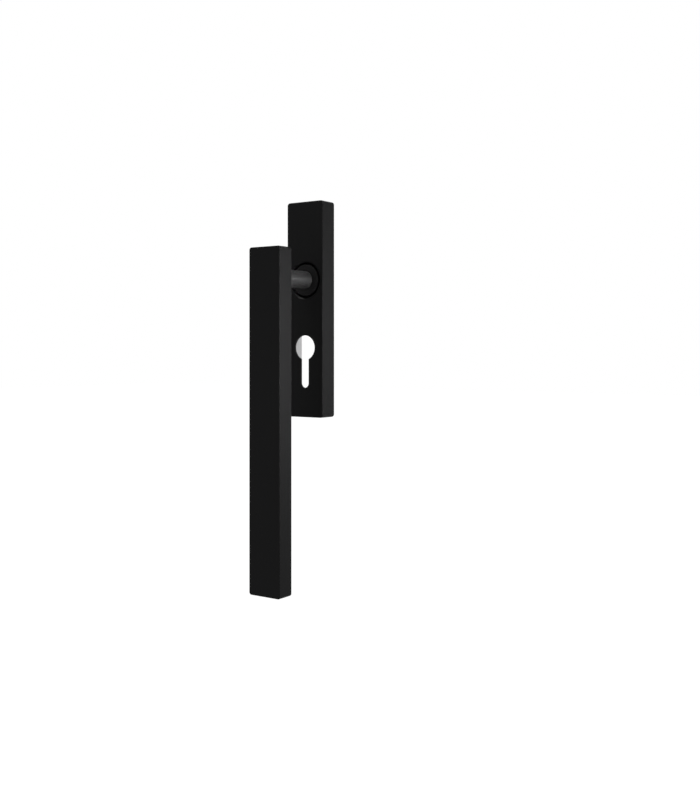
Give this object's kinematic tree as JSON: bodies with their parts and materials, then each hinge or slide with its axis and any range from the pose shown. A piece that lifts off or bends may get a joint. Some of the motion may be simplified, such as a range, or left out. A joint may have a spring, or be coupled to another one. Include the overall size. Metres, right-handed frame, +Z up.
{
  "type": "sliding patio door handle",
  "caption": "Lift-and-slide patio door handle: a long flat bar lever on a round neck, on a deep rectangular plate with a keyhole.",
  "frame": {"origin": "on the spindle axis, in the plane of the door's face, midway between the two fixing holes", "axes": "+Z up with the lever hanging down, +X to the right as seen from the room, -Y from the door towards the user"},
  "size_m": [0.045, 0.0848, 0.391],
  "materials": {
    "black_coat": "fine satin black powder coat on aluminium",
    "black_stem": "turned steel, satin black coat",
    "black_polymer": "moulded black nylon",
    "black_screw": "black oxide steel, slightly oily",
    "zinc_screw": "bright zinc plated steel",
    "black_zinc": "zinc die casting, black passivated, matt",
    "cast_tray": "raw die casting, matt",
    "turned_steel": "turned steel, fine lathe lines",
    "spring_steel": "phosphated spring steel, dark grey",
    "bare_aluminium": "milled aluminium"
  },
  "bodies": {
    "plate": {"cover_plate": "black_coat", "cover_grub_screws": "black_screw", "base_plate": "cast_tray", "bearing_housing": "black_zinc", "housing_screws": "zinc_screw", "front_bush": "black_polymer", "rear_bush": "black_polymer"},
    "lever": {"neck": "black_stem", "thrust_washer": "turned_steel", "wave_washer": "spring_steel", "retaining_ring": "spring_steel", "spindle_grub_screw": "black_screw", "neck_screw": "black_screw", "neck_lock_washer": "spring_steel", "neck_dowel_pins": "turned_steel", "grip": "black_coat", "grip_insert": "bare_aluminium", "insert_screws": "black_screw", "grip_top_cap": "black_coat", "grip_bottom_cap": "black_coat"}
  },
  "joints": [
    {"name": "lever_turn", "type": "hinge", "parent": "plate", "child": "lever", "pos_m": [0, 0, 0], "axis": [0, -1, 0], "range_deg": [0, 180]}
  ]
}
